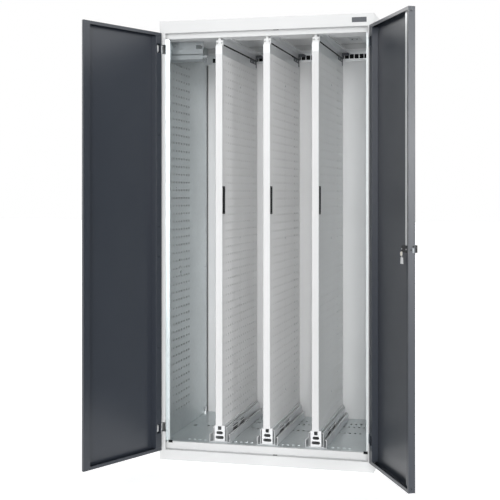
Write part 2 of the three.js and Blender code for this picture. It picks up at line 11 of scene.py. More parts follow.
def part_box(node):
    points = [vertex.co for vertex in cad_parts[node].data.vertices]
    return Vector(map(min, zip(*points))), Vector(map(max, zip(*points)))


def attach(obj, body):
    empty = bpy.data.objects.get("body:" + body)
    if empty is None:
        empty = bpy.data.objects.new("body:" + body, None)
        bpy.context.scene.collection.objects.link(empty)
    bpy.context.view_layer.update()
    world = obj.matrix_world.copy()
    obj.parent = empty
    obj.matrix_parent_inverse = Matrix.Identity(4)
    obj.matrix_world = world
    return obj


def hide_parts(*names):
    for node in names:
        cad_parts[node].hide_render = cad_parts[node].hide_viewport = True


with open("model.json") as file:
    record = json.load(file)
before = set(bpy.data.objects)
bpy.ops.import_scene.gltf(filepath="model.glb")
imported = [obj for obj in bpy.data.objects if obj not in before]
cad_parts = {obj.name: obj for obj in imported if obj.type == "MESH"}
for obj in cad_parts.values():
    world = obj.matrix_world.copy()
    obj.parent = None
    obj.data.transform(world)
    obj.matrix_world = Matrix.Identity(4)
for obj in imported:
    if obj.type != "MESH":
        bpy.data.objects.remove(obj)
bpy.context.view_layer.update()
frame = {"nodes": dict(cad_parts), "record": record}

bl_info = {
    "name": "Upright Storage Cabinet",
    "version": (1, 0, 0),
    "blender": (4, 5, 0),
    "location": "3D View > Sidebar > Cabinet",
    "description": "Dresses the cabinet's packed model with sheets, perforations, runners and lock",
    "category": "Object",
}

MM = 0.001
NODES = frame["nodes"]
RECORD = frame["record"]
BODY_OF = {
    node: body for body, members in RECORD["behaviour"]["bodies"].items() for node in members}
SLOT_OF = {row["node"]: row["material_slot"] for row in RECORD["subparts"]}
PANELS = (1, 2, 3)
SIDES = ("left", "right")

# Half of the cabinet's width and depth, in millimetres
HALF_WIDTH = 500
HALF_DEPTH = 350

# How the doors stand: the hinge axis, the turn from closed to open, and the leaf's sizes
OPEN_ANGLE = {"left": -math.radians(114.6), "right": math.radians(117.5)}
HINGE_AXIS = {"left": Vector((-0.4935, -0.3445, 0)), "right": Vector((0.4935, -0.3445, 0))}
LEAF_START = 23.5 * MM
LEAF_WIDTH = 468 * MM
LEAF_THICK = 30 * MM
PIN_DEPTH = 5.5 * MM

LINER_SHEET = 1.5 * MM
PANEL_SPACING = 227 * MM
# A punch this long goes through a whole panel
THROUGH_PANEL = 44 * MM

# Two faces turned by less than this are one flat region, and a region this many times
# larger than its neighbour has sharp edges
FLAT_ANGLE = math.radians(0.5)
FLAT_SHARE = 8

# The solved camera: the photograph's width and the lens, in pixels, and its place and turn
PHOTO_SIZE = 500
FOCAL_LENGTH = 1018.58
LENS_CENTRE = (277.37, 194.28)
EYE = (1.1376, -4.8148, 1.2289)
EYE_YAW = 13.55
SENSOR = 36.0

# Each lamp with its setting, then degrees right of the front, above the level, and of spread
LAMPS = (
    ("key", "key", 17, 9, 24),
    ("side", "side", 49, 3, 12),
    ("top", "top", -25, 50, 60),
    ("low", "low", 5, -14, 40),
    ("rear_left", "rear", -130, 20, 50),
    ("rear_right", "rear", 130, 20, 50),
)


# Settings shown in the sidebar


def colour_property(name, description, default):
    return FloatVectorProperty(
        name=name, description=description, default=default, subtype="COLOR", size=3, min=0, max=1)


def length_property(name, description, default, low=0.0, high=3.0):
    return FloatProperty(
        name=name, description=description, default=default, min=low, max=high,
        unit="LENGTH", precision=4)


def count_property(name, description, default):
    return IntProperty(name=name, description=description, default=default, min=1)


def strength_property(name, description, default):
    return FloatProperty(name=name, description=description, default=default, min=0)


class CabinetColours(bpy.types.PropertyGroup):
    """Base colours of the finishes, as linear values."""

    body: colour_property("Body paint", "Powder coat of the carcass", (0.735, 0.742, 0.745))
    # The inner colour is the body's paint made lighter: painted light on the back wall and ceiling
    # deep inside the cabinet
    inner: colour_property("Inner paint", "Back wall and ceiling", (0.93, 0.935, 0.94))
    door: colour_property("Door paint", "Powder coat of the doors", (0.030, 0.036, 0.048))
    bar: colour_property("Bar paint", "Front bars of the panels", (0.77, 0.775, 0.78))
    # The skins and the front bars are one light grey paint; the skins' lighter colour is painted
    # light on their side faces, which lie in the cabinet's shade
    panel: colour_property("Panel paint", "Perforated skins", (0.87, 0.875, 0.875))
    zinc: colour_property("Zinc", "Zinc-plated sheet", (0.64, 0.68, 0.69))
    # This is the zinc's colour darkened: painted shade on the hanger plate
    dull_zinc: colour_property("Dull zinc", "Zinc-plated hanger plate", (0.24, 0.26, 0.27))
    bright_zinc: colour_property("Bright zinc", "Runners and rails", (0.80, 0.815, 0.825))
    plastic: colour_property("Black plastic", "Grips, lock and knob", (0.012, 0.012, 0.014))
    # The rubber colour also serves as painted shade: the strips in the rear corners, under the guide
    # rails, behind the rear rail's slots and round the lock rod's slots
    rubber: colour_property("Rubber", "Threshold pads and dark strips", (0.008, 0.008, 0.009))
    nylon: colour_property("Nylon", "Guide blocks", (0.80, 0.81, 0.81))
    plate: colour_property("Dark plate", "Name plate and rear brackets", (0.080, 0.086, 0.098))
    key: colour_property("Key cover", "Covers of the spare keys", (0.90, 0.86, 0.78))


class CabinetPerforation(bpy.types.PropertyGroup):
    """Sizes of the perforations and slots."""

    hole: length_property("Hole", "Side of a square hole in the panels", 0.010, 0.002, 0.03)
    pitch: length_property("Pitch", "Distance from hole to hole", 0.038, 0.01, 0.1)
    rise: length_property("Row pitch", "Distance from row to row", 0.0374, 0.01, 0.1)
    corner: length_property("Corner", "Corner radius of a hole", 0.0012, 0.0002, 0.01)
    skin: length_property("Skin", "Sheet thickness of the skins", 0.0007, 0.0003, 0.002)
    panel_columns: count_property("Panel columns", "Columns of holes across a panel", 16)
    panel_rows: count_property("Panel rows", "Rows of holes up a panel", 45)
    liner_hole: length_property("Liner hole", "Width of a hole in a liner", 0.0135, 0.002, 0.03)
    liner_columns: count_property("Liner columns", "Columns of holes in a side liner", 8)
    slot_width: length_property("Slot width", "Width of a floor slot", 0.012, 0.002, 0.03)
    slot_length: length_property("Slot length", "From its front to its back", 0.018, 0.004, 0.1)
    slot_pitch: length_property("Slot pitch", "From slot to slot", 0.02535, 0.005, 0.1)


class CabinetStage(bpy.types.PropertyGroup):
    """Light and floor of the studio."""

    floor: colour_property("Floor", "Colour of the studio floor", (0.90, 0.90, 0.90))
    glow: strength_property("Floor white", "White that the camera sees on the floor", 0.62)
    sky: strength_property("Sky", "Even light from all round", 0.34)
    key: strength_property("Key light", "Soft light from the front, a little right", 1.5)
    side: strength_property("Side light", "Light from the right on the door's edge", 0.5)
    top: strength_property("Top light", "Soft light from above", 0.28)
    rear: strength_property("Rear light", "Soft light on the back and on each side", 0.8)
    low: strength_property("Low light", "Soft light that reaches up to the ceiling", 0.75)


# Materials

# Crystals of the zinc in a metre, and how much finer the drawn lines are across the part
SPANGLE = 70.0
DRAWN_ALONG_Y = (14.0, 1.0, 14.0)


class NodeWriter:
    """Adds nodes to a tree and joins them."""

    def __init__(self, tree):
        self.tree = tree

    def put(self, value, socket):
        """Gives an input its value, or links it to another node's output."""
        if isinstance(value, bpy.types.NodeSocket):
            self.tree.links.new(value, socket)
        else:
            socket.default_value = value

    def node(self, kind, output, settings=None, **inputs):
        """Adds a node and gives its output; an input's name has _ for a space."""
        made = self.tree.nodes.new(kind)
        for name, value in (settings or {}).items():
            setattr(made, name, value)
        for label, value in inputs.items():
            self.put(value, made.inputs[label.replace("_", " ")])
        return made.outputs[output]

    def math(self, operation, first, second):
        made = self.tree.nodes.new("ShaderNodeMath")
        made.operation = operation
        self.put(first, made.inputs[0])
        self.put(second, made.inputs[1])
        return made.outputs["Value"]


class Finish(NodeWriter):
    """A node material that is put together step by step."""

    def __init__(self, name, metallic, roughness, specular=0.5, coat=0.0):
        self.material = bpy.data.materials.new(name)
        self.material.use_nodes = True
        super().__init__(self.material.node_tree)
        self.shader = self.tree.nodes["Principled BSDF"]
        for label, value in (
                ("Metallic", metallic), ("Roughness", roughness), ("Specular IOR Level", specular),
                ("Coat Weight", coat), ("Coat Roughness", 0.25)):
            self.shader.inputs[label].default_value = value
        self.place = self.node("ShaderNodeTexCoord", "Object")

    def drawn_out(self, scale):
        """Object coordinates, drawn out along an axis."""
        return self.node("ShaderNodeMapping", "Vector", Scale=scale, Vector=self.place)

    def noise(self, scale, detail=3.0, roughness=0.55, place=None):
        return self.node(
            "ShaderNodeTexNoise", "Fac", Scale=scale, Detail=detail, Roughness=roughness,
            Vector=place or self.place)

    def cells(self, scale):
        """A random grey for each cell of an irregular pattern."""
        colour = self.node(
            "ShaderNodeTexVoronoi", "Color", Scale=scale, Randomness=1.0, Vector=self.place)
        return self.node("ShaderNodeSeparateColor", "Red", Color=colour)

    def ranged(self, value, low, high, from_low=0.3, from_high=0.7):
        return self.node(
            "ShaderNodeMapRange", "Result", From_Min=from_low, From_Max=from_high,
            To_Min=low, To_Max=high, Value=value)

    def tinted(self, colour, factor):
        """The colour times a factor that varies over the surface."""
        shade = self.node(
            "ShaderNodeVectorMath", "Vector", {"operation": "SCALE"}, Vector=colour, Scale=factor)
        self.put(shade, self.shader.inputs["Base Color"])

    def roughened(self, value):
        self.put(value, self.shader.inputs["Roughness"])

    def bumped(self, height, distance, strength):
        normal = self.node(
            "ShaderNodeBump", "Normal", Distance=distance, Strength=strength, Height=height)
        self.put(normal, self.shader.inputs["Normal"])


def powder_coat(name, colour, roughness, coat=0.0, shade=0.03):
    """Powder-coated sheet: an orange-peel surface with slight clouds in its colour and gloss."""
    made = Finish(name, 0.0, roughness, coat=coat)
    clouds = made.ranged(made.noise(2.3, 2.0), 1.0 - shade, 1.0 + shade)
    specks = made.ranged(made.noise(900.0, 1.0), 0.985, 1.015)
    made.tinted(colour, made.math("MULTIPLY", clouds, specks))
    made.roughened(made.ranged(made.noise(5.0, 2.0), roughness - 0.01, roughness + 0.02))
    peel = made.math("ADD", made.noise(420.0, 1.5), made.noise(1400.0, 1.0))
    made.bumped(peel, 0.06 * MM, 0.2)
    return made.material


def zinc_sheet(name, colour, roughness):
    """Zinc-plated sheet: pale crystals, faint clouds and a soft change of gloss."""
    made = Finish(name, 0.8, roughness)
    crystals = made.ranged(made.cells(SPANGLE), 0.97, 1.03, 0.0, 1.0)
    clouds = made.ranged(made.noise(3.5), 0.95, 1.04)
    made.tinted(colour, made.math("MULTIPLY", crystals, clouds))
    haze = made.ranged(made.noise(6.0), roughness - 0.03, roughness + 0.03)
    glint = made.ranged(made.cells(SPANGLE), -0.02, 0.02, 0.0, 1.0)
    made.roughened(made.math("ADD", haze, glint))
    made.bumped(made.noise(300.0, 2.0), 0.02 * MM, 0.15)
    return made.material


def bright_plating(name, colour, roughness):
    """Bright plated steel: drawn lines along the part and a little haze."""
    made = Finish(name, 0.5, roughness)
    lines = made.noise(60.0, 3.0, 0.6, made.drawn_out(DRAWN_ALONG_Y))
    haze = made.ranged(made.noise(9.0, 2.0), 0.97, 1.02)
    made.tinted(colour, made.math("MULTIPLY", made.ranged(lines, 0.97, 1.03), haze))
    made.roughened(made.ranged(made.noise(12.0), roughness - 0.03, roughness + 0.05))
    made.bumped(lines, 0.01 * MM, 0.12)
    return made.material


def moulded(name, colour, roughness, grain=700.0, depth=0.1 * MM, specular=0.4):
    """Moulded plastic or rubber: a fine grain and faint changes of tone."""
    made = Finish(name, 0.0, roughness, specular)
    made.tinted(colour, made.ranged(made.noise(35.0), 0.88, 1.12))
    made.roughened(made.ranged(made.noise(120.0, 2.0), roughness - 0.07, roughness + 0.07))
    made.bumped(made.noise(grain, 2.0), depth, 0.5)
    return made.material


# For each finish its maker, its colour in the sidebar, and the maker's other values
FINISH_RECIPES = {
    "body_paint": (powder_coat, "body", 0.40),
    "door_paint": (powder_coat, "door", 0.29, 0.2, 0.02),
    # A lighter copy of the body paint, as painted light on the back wall and ceiling
    "inner_paint": (powder_coat, "inner", 0.45),
    "bar_paint": (powder_coat, "bar", 0.38),
    # Lighter than the bar paint, as painted light on the skins' side faces
    "panel_paint": (powder_coat, "panel", 0.45),
    "zinc": (zinc_sheet, "zinc", 0.32),
    # A darker copy of the zinc, as painted shade on the hanger plate
    "dull_zinc": (zinc_sheet, "dull_zinc", 0.42),
    "bright_zinc": (bright_plating, "bright_zinc", 0.32),
    "black_plastic": (moulded, "plastic", 0.45),
    "rubber": (moulded, "rubber", 0.8, 500.0, 0.2 * MM, 0.2),
    "nylon": (moulded, "nylon", 0.42),
    "dark_plate": (powder_coat, "plate", 0.42),
    "key_plastic": (moulded, "key", 0.4),
}
FINISHES = {}


def finish_of(slot):
    """The material of a slot; all of them are made at the first call."""
    if not FINISHES:
        colours = bpy.context.scene.cabinet_colours
        for name, (make, colour, *values) in FINISH_RECIPES.items():
            FINISHES[name] = make(name, getattr(colours, colour), *values)
    return FINISHES[slot]


# Meshes and pieces


def link_piece(name, mesh, body, slot, replaced=(), finish=None):
    """Puts a finished mesh into the scene as a piece that rides on a body."""
    piece = bpy.data.objects.new(name, mesh)
    bpy.context.scene.collection.objects.link(piece)
    mesh.materials.clear()
    mesh.materials.append(finish_of(finish or slot))
    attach(piece, body)
    if replaced:
        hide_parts(*replaced)
    return piece


def dress(node, mesh, finish=None):
    """Puts a mesh in the place of a node, on its body and in its slot."""
    mesh = smooth_by_angle(mesh)
    return link_piece(node + "_piece", mesh, BODY_OF[node], SLOT_OF[node], (node,), finish)


def mesh_from(built):
    mesh = bpy.data.meshes.new("shape")
    built.to_mesh(mesh)
    built.free()
    return mesh


def node_copy(node):
    """A merged copy of a node's mesh with its flat faces made whole."""
    built = bmesh.new()
    built.from_mesh(NODES[node].data)
    bmesh.ops.remove_doubles(built, verts=built.verts, dist=2e-6)
    bmesh.ops.dissolve_limit(
        built, angle_limit=math.radians(0.3), verts=built.verts, edges=built.edges)
    return mesh_from(built)


def evaluated(holder):
    """The plain mesh that an object's modifiers make; the object itself is removed."""
    graph = bpy.context.evaluated_depsgraph_get()
    mesh = bpy.data.meshes.new_from_object(holder.evaluated_get(graph), depsgraph=graph)
    old = holder.data
    holder.modifiers.clear()
    bpy.data.objects.remove(holder)
    bpy.data.meshes.remove(old)
    return mesh


def held(mesh):
    """A loose object that only carries a mesh while its modifiers run."""
    holder = bpy.data.objects.new("holder", mesh)
    bpy.context.scene.collection.objects.link(holder)
    return holder


def bevelled(mesh, width, segments=2, angle=30.0):
    """The mesh with its sharp edges rounded, as bent or deburred sheet is."""
    holder = held(mesh)
    rounding = holder.modifiers.new("Edges", "BEVEL")
    rounding.width = width
    rounding.segments = segments
    rounding.limit_method = "ANGLE"
    rounding.angle_limit = math.radians(angle)
    rounding.harden_normals = False
    rounding.use_clamp_overlap = True
    return evaluated(holder)


def flat_regions(built):
    """For each face, the number of its flat region, and the regions' areas."""
    region, areas = {}, []
    for seed in built.faces:
        if seed in region:
            continue
        region[seed] = len(areas)
        total, waiting = 0.0, [seed]
        while waiting:
            face = waiting.pop()
            total += face.calc_area()
            for edge in face.edges:
                for near in edge.link_faces:
                    if near not in region and face.normal.angle(near.normal, 0.0) < FLAT_ANGLE:
                        region[near] = region[seed]
                        waiting.append(near)
        areas.append(total)
    return region, areas


def smooth_by_angle(mesh, angle=35.0):
    """Smooth shading that stays sharp at wide angles and round each large flat face."""
    mesh.polygons.foreach_set("use_smooth", [True] * len(mesh.polygons))
    mesh.set_sharp_from_angle(angle=math.radians(angle))
    built = bmesh.new()
    built.from_mesh(mesh)
    region, areas = flat_regions(built)
    for edge in built.edges:
        if len(edge.link_faces) == 2:
            small, large = sorted(areas[region[face]] for face in edge.link_faces)
            if large > FLAT_SHARE * small:
                edge.smooth = False
    built.to_mesh(mesh)
    built.free()
    return mesh


def rounded_copy(node, width, segments=2):
    return bevelled(node_copy(node), width, segments)


def rounded_node(node, width, segments=2, finish=None):
    """A node's piece with rounded edges, in the node's own slot and body."""
    return dress(node, rounded_copy(node, width, segments), finish)


# Geometry nodes for what repeats

GRID_SOCKETS = {
    "Columns": "Int",
    "Rows": "Int",
    "Column Pitch": "Float",
    "Row Pitch": "Float",
    "Centre": "Vector",
    "Turn": "Rotation",
    "Material": "Material",
}
HOLE_SOCKETS = {
    "Hole Width": "Float", "Hole Height": "Float", "Corner Radius": "Float", "Depth": "Float"}


class TreeWriter(NodeWriter):
    """A geometry tree that changes a mesh, with named inputs for its sizes."""

    def __init__(self, name, sockets):
        super().__init__(bpy.data.node_groups.new(name, "GeometryNodeTree"))
        interface = self.tree.interface
        interface.new_socket("Geometry", in_out="OUTPUT", socket_type="NodeSocketGeometry")
        interface.new_socket("Geometry", in_out="INPUT", socket_type="NodeSocketGeometry")
        self.names = {}
        for label, kind in sockets.items():
            socket = interface.new_socket(label, in_out="INPUT", socket_type="NodeSocket" + kind)
            self.names[label] = socket.identifier
        self.inputs = self.tree.nodes.new("NodeGroupInput").outputs
        self.result = self.tree.nodes.new("NodeGroupOutput").inputs["Geometry"]

    def grid_points(self):
        """Points in rows and columns, in the grid's own plane."""
        sizes = []
        for count, pitch in (("Columns", "Column Pitch"), ("Rows", "Row Pitch")):
            gaps = self.math("SUBTRACT", self.inputs[count], 1.0)
            sizes.append(self.math("MULTIPLY", gaps, self.inputs[pitch]))
        return self.node(
            "GeometryNodeMeshGrid", "Mesh", Size_X=sizes[0], Size_Y=sizes[1],
            Vertices_X=self.inputs["Columns"], Vertices_Y=self.inputs["Rows"])

    def placed(self, geometry):
        """Turned and moved to where the grid stands."""
        return self.node(
            "GeometryNodeTransform", "Geometry", Geometry=geometry,
            Translation=self.inputs["Centre"], Rotation=self.inputs["Turn"])

    def finish(self, geometry):
        """Ends the tree in a plain mesh with its material."""
        plain = self.node("GeometryNodeRealizeInstances", "Geometry", Geometry=geometry)
        self.put(self.node(
            "GeometryNodeSetMaterial", "Geometry", Geometry=plain,
            Material=self.inputs["Material"]), self.result)
        return self.tree, self.names


def perforation_tree():
    """Cuts a grid of round-cornered holes through a sheet."""
    tree = TreeWriter("Perforated sheet", {**HOLE_SOCKETS, **GRID_SOCKETS})
    inputs = tree.inputs
    outline = tree.node(
        "GeometryNodeCurvePrimitiveQuadrilateral", "Curve",
        Width=inputs["Hole Width"], Height=inputs["Hole Height"])
    outline = tree.node(
        "GeometryNodeFilletCurve", "Curve", {"mode": "POLY"},
        Curve=outline, Count=2, Radius=inputs["Corner Radius"], Limit_Radius=True)
    start, end = (
        tree.node("ShaderNodeCombineXYZ", "Vector", Z=tree.math("MULTIPLY", inputs["Depth"], share))
        for share in (-0.5, 0.5))
    path = tree.node("GeometryNodeCurvePrimitiveLine", "Curve", Start=start, End=end)
    punch = tree.node(
        "GeometryNodeCurveToMesh", "Mesh", Curve=path, Profile_Curve=outline, Fill_Caps=True)
    punch = tree.node("GeometryNodeMergeByDistance", "Geometry", Geometry=punch, Distance=1e-6)
    punches = tree.node(
        "GeometryNodeInstanceOnPoints", "Instances", Points=tree.grid_points(), Instance=punch)
    punches = tree.node("GeometryNodeRealizeInstances", "Geometry", Geometry=punches)
    return tree.finish(tree.node(
        "GeometryNodeMeshBoolean", "Mesh", {"operation": "DIFFERENCE", "solver": "MANIFOLD"},
        Mesh_1=inputs["Geometry"], Mesh_2=tree.placed(punches)))


def repeat_tree():
    """Repeats a small part in rows and columns."""
    tree = TreeWriter("Repeated part", GRID_SOCKETS)
    copies = tree.node(
        "GeometryNodeInstanceOnPoints", "Instances", Points=tree.grid_points(),
        Instance=tree.inputs["Geometry"])
    return tree.finish(tree.placed(copies))


TREES = {}


def run_tree(make_tree, mesh, slot, centre, turn, grid, sizes=()):
    """Runs a tree on a mesh; grid is (columns, rows, column pitch, row pitch)."""
    if make_tree not in TREES:
        TREES[make_tree] = make_tree()
    tree, names = TREES[make_tree]
    holder = held(mesh)
    modifier = holder.modifiers.new(tree.name, "NODES")
    modifier.node_group = tree
    place = (tuple(centre), tuple(turn), finish_of(slot))
    for label, value in (*zip(GRID_SOCKETS, (*grid, *place)), *zip(HOLE_SOCKETS, sizes)):
        modifier[names[label]] = value
    return evaluated(holder)


def perforated(mesh, slot, centre, turn, grid, hole, corner, depth):
    """The sheet with a grid of holes; hole is (width, height)."""
    return run_tree(perforation_tree, mesh, slot, centre, turn, grid, (*hole, corner, depth))


def pierced(mesh, slot, centre, turn, hole, corner, depth):
    """The sheet with one hole."""
    return perforated(mesh, slot, centre, turn, row(1, 0.01), hole, corner, depth)


def row(count, pitch):
    """A grid of one row, whose row pitch has no effect."""
    return (count, 1, pitch, 0.01)


# Turns that lay a grid's columns and rows along the planes of the cabinet
FACING_UP = (0.0, 0.0, 0.0)
FACING_DOWN = (math.pi, 0.0, 0.0)
FACING_FRONT = (math.pi / 2, 0.0, 0.0)
FACING_BACK = (-math.pi / 2, 0.0, 0.0)
FACING_LEFT = (math.pi / 2, 0.0, -math.pi / 2)
FACING_RIGHT = (math.pi / 2, 0.0, math.pi / 2)


# Small parts


def closed_mesh(built, matrix=Matrix.Identity(4)):
    """The mesh with its faces pointing outwards, put in place by the matrix."""
    bmesh.ops.recalc_face_normals(built, faces=built.faces)
    bmesh.ops.transform(built, matrix=matrix, verts=built.verts)
    return mesh_from(built)


def bridge(built, first, second):
    """Faces from one ring of points to the next, or to a single point."""
    count = max(len(first), len(second))
    for k in range(count):
        j = (k + 1) % count
        corners = (
            first[k % len(first)], first[j % len(first)],
            second[j % len(second)], second[k % len(second)])
        built.faces.new(list(dict.fromkeys(corners)))


def bridge_round(built, rings):
    """Faces from each ring to the next, and from the last to the first."""
    for first, second in zip(rings, rings[1:] + rings[:1]):
        bridge(built, first, second)


def turned_prism(outline, depth, matrix=Matrix.Identity(4)):
    """A prism on an outline in its own XY plane, from 0 to depth, put in place by the matrix."""
    built = bmesh.new()
    low = [built.verts.new((x, y, 0)) for x, y in outline]
    high = [built.verts.new((x, y, depth)) for x, y in outline]
    built.faces.new(list(reversed(low)))
    built.faces.new(high)
    bridge(built, low, high)
    return closed_mesh(built, matrix)


def block(low, high, matrix=Matrix.Identity(4)):
    """A box between two corners."""
    (x0, y0, z0), (x1, y1, z1) = low, high
    outline = [(x0, y0), (x1, y0), (x1, y1), (x0, y1)]
    return turned_prism(outline, z1 - z0, matrix @ Matrix.Translation((0, 0, z0)))


def strip(name, low, high, body, slot, edge=0.2 * MM):
    """A thin block with rounded edges, as a piece of its own."""
    return link_piece(name, bevelled(block(low, high), edge), body, slot)


def tube_along_y(low, high, wall):
    """A rectangular tube of thin sheet, open at its front and back."""
    built = bmesh.new()
    rings = []
    for y, inset in ((low.y, 0.0), (low.y, wall), (high.y, 0.0), (high.y, wall)):
        x0, x1 = low.x + inset, high.x - inset
        z0, z1 = low.z + inset, high.z - inset
        rings.append([
            built.verts.new((x, y, z)) for x, z in ((x0, z0), (x1, z0), (x1, z1), (x0, z1))])
    outer_front, inner_front, outer_back, inner_back = rings
    bridge_round(built, [outer_front, outer_back, inner_back, inner_front])
    return closed_mesh(built)


def rounded_outline(width, height, radius, steps=5, centre=(0.0, 0.0)):
    """The outline of a rectangle with round corners."""
    points = []
    for k, (sx, sy) in enumerate(((1, 1), (-1, 1), (-1, -1), (1, -1))):
        x = centre[0] + sx * (width / 2 - radius)
        y = centre[1] + sy * (height / 2 - radius)
        for i in range(steps + 1):
            angle = math.pi / 2 * (k + i / steps)
            points.append((x + radius * math.cos(angle), y + radius * math.sin(angle)))
    return points


def ring(built, radii, height):
    """Points round the Z axis, one for each radius."""
    angles = [2 * math.pi * k / len(radii) for k in range(len(radii))]
    return [
        built.verts.new((radius * math.cos(angle), radius * math.sin(angle), height))
        for radius, angle in zip(radii, angles)]


def lathe(profile, radius, height, steps, place=(0, 0, 0)):
    """A turned part; profile holds shares of its radius and height, from the foot up."""
    built = bmesh.new()
    rings = [
        ring(built, [radius * across] * (steps if across else 1), height * up)
        for across, up in profile]
    for low, high in zip(rings, rings[1:]):
        bridge(built, low, high)
    bmesh.ops.remove_doubles(built, verts=built.verts, dist=1e-7)
    return closed_mesh(built, Matrix.Translation(place))


def screw_head(radius, height):
    """A pan-head screw with its cross recess, standing up from its seat."""
    steps = 16
    built = bmesh.new()
    rings = [
        ring(built, [radius * across] * steps, height * up)
        for across, up in ((1.0, 0.0), (1.0, 0.45), (0.86, 0.8), (0.55, 1.0))]
    rings.append(ring(built, [radius * (0.13 if k % 4 else 0.42) for k in range(steps)], height))
    rings.append([built.verts.new((0, 0, height * 0.35))])
    for low, high in zip(rings, rings[1:]):
        bridge(built, low, high)
    built.faces.new(list(reversed(rings[0])))
    return mesh_from(built)


def rivet_head(radius, height):
    """A low round rivet head with its dimple."""
    return lathe(((1, 0), (0.92, 0.55), (0.6, 1), (0.3, 1), (0, 0.6)), radius, height, 14)


def closed_foot(mesh):
    """Closes the open foot of a turned head, and points its faces outwards."""
    built = bmesh.new()
    built.from_mesh(mesh)
    edges = [e for e in built.edges if e.is_boundary]
    if edges:
        bmesh.ops.contextual_create(built, geom=edges)
    bmesh.ops.recalc_face_normals(built, faces=built.faces)
    built.to_mesh(mesh)
    built.free()
    return mesh


def fasteners(name, part, body, slot, centre, turn, grid):
    """Rows and columns of one small part, as one piece on one body."""
    mesh = run_tree(repeat_tree, closed_foot(part), slot, centre, turn, grid)
    return link_piece(name, smooth_by_angle(mesh, 40.0), body, slot)


def joined(meshes):
    """Several closed meshes as one mesh."""
    built = bmesh.new()
    for mesh in meshes:
        built.from_mesh(mesh)
        bpy.data.meshes.remove(mesh)
    return mesh_from(built)


# Places


def door_matrix(side):
    return Matrix.Translation(HINGE_AXIS[side]) @ Matrix.Rotation(OPEN_ANGLE[side], 4, "Z")


def on_door(side, across, inward, height):
    """A point of the leaf, measured from its hinge edge, its outer face and the floor."""
    sign = 1 if side == "left" else -1
    return door_matrix(side) @ Vector((sign * (LEAF_START + across), inward - PIN_DEPTH, height))


def door_turn(side):
    """The turn that lays a grid on the leaf's inner face."""
    return (math.pi / 2, 0.0, OPEN_ANGLE[side] + math.pi)


def from_left(value):
    """X in metres, from millimetres that are counted from the cabinet's left side."""
    return (value - HALF_WIDTH) * MM


def from_front(value):
    """Y in metres, from millimetres that are counted from the cabinet's front."""
    return (value - HALF_DEPTH) * MM


def from_inside(side, value):
    """X in metres, counted inwards from the face of one side's liner."""
    low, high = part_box(f"side_liner_{side}")
    return low.x + LINER_SHEET + value if side == "left" else high.x - LINER_SHEET - value


def panel_x(number):
    return (number - 2) * PANEL_SPACING


# One operator for each group of pieces


class CABINET_OT_carcass(bpy.types.Operator):
    """Roof, base, side panels and back panel, with rolled edges and the back's rivets"""

    bl_idname = "cabinet.carcass"
    bl_label = "Carcass"

    def execute(self, context):
        for side in SIDES:
            rounded_node(f"side_panel_{side}", 1.0 * MM, 3)
        self.shell("roof", inset=48 * MM, rod_width=18 * MM, level=1974 * MM, inward=1)
        self.shell("base", inset=44 * MM, rod_width=12 * MM, level=47 * MM, inward=-1)
        # The back panel takes the lighter copy of the body paint, as painted light
        rounded_node("back_panel", 0.7 * MM, finish="inner_paint")
        low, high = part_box("back_panel")
        edge, rivet_rise = 14 * MM, 228 * MM
        fasteners(
            "back_rivets", rivet_head(3.2 * MM, 1.3 * MM), "carcass", "body_paint",
            ((low.x + high.x) / 2, low.y + 1.5 * MM, (low.z + high.z) / 2),
            FACING_BACK, (2, 9, high.x - low.x - 2 * edge, rivet_rise))
        return {"FINISHED"}

    def shell(self, node, inset, rod_width, level, inward):
        """Shell whose ledge is pierced for the lock rod, with a dark rubber frame in the slot as
        painted shade.
        """
        x = HINGE_AXIS["right"].x - LEAF_START - LEAF_WIDTH + inset
        y = from_front(19)
        width, depth, gap = rod_width + 8 * MM, 14 * MM, 0.1 * MM
        mesh = rounded_copy(node, 1.0 * MM, 3)
        dress(node, pierced(
            mesh, SLOT_OF[node], (x, y, level), FACING_UP, (width, depth),
            corner=0.4 * MM, depth=5 * MM))
        # The dark frame round the rod's hole is painted shade in the slot
        bottom, top = sorted((level + inward * 0.1 * MM, level + inward * 1.4 * MM))
        half, reach = width / 2 - gap, depth / 2 - gap
        frame_block = block((x - half, y - reach, bottom), (x + half, y + reach, top))
        shade_frame = pierced(
            frame_block, "rubber", (x, y, level), FACING_UP,
            (rod_width + 1.6 * MM, 6 * MM), corner=0.4 * MM, depth=5 * MM)
        link_piece(node + "_slot_frame", shade_frame, "carcass", "rubber")


class CABINET_OT_stiles(bpy.types.Operator):
    """Plated door stiles with their hinge ears, and the rubber pads on the threshold"""

    bl_idname = "cabinet.stiles"
    bl_label = "Stiles"

    def execute(self, context):
        for side in SIDES:
            rounded_node(f"door_stile_{side}", 0.4 * MM)
            rounded_node(f"door_buffer_{side}", 0.5 * MM, 3)
        return {"FINISHED"}


class CABINET_OT_liners(bpy.types.Operator):
    """Perforated side liners, and a dark strip of painted shade in each rear corner"""

    bl_idname = "cabinet.liners"
    bl_label = "Liners"

    def execute(self, context):
        sizes = context.scene.cabinet_perforation
        rows, rise = 45, 37.8 * MM
        start = from_front(114.5)
        for side in SIDES:
            node = f"side_liner_{side}"
            low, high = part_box(node)
            face = low.x if side == "left" else high.x
            middle = (face, start + (sizes.liner_columns - 1) * sizes.pitch / 2, 1021.5 * MM)
            dress(node, perforated(
                rounded_copy(node, 0.4 * MM), SLOT_OF[node], middle, FACING_RIGHT,
                (sizes.liner_columns, rows, sizes.pitch, rise),
                (sizes.liner_hole, sizes.hole), sizes.corner, depth=12 * MM))
            # A dark strip in each rear corner is painted shade where the liner meets the back wall
            outer, inner = sorted((from_inside(side, 0.4 * MM), from_inside(side, 2.0 * MM)))
            strip(
                f"corner_seal_{side}", (outer, from_front(690.8), 81 * MM),
                (inner, from_front(691.8), 1908 * MM), "carcass", "rubber")
        return {"FINISHED"}


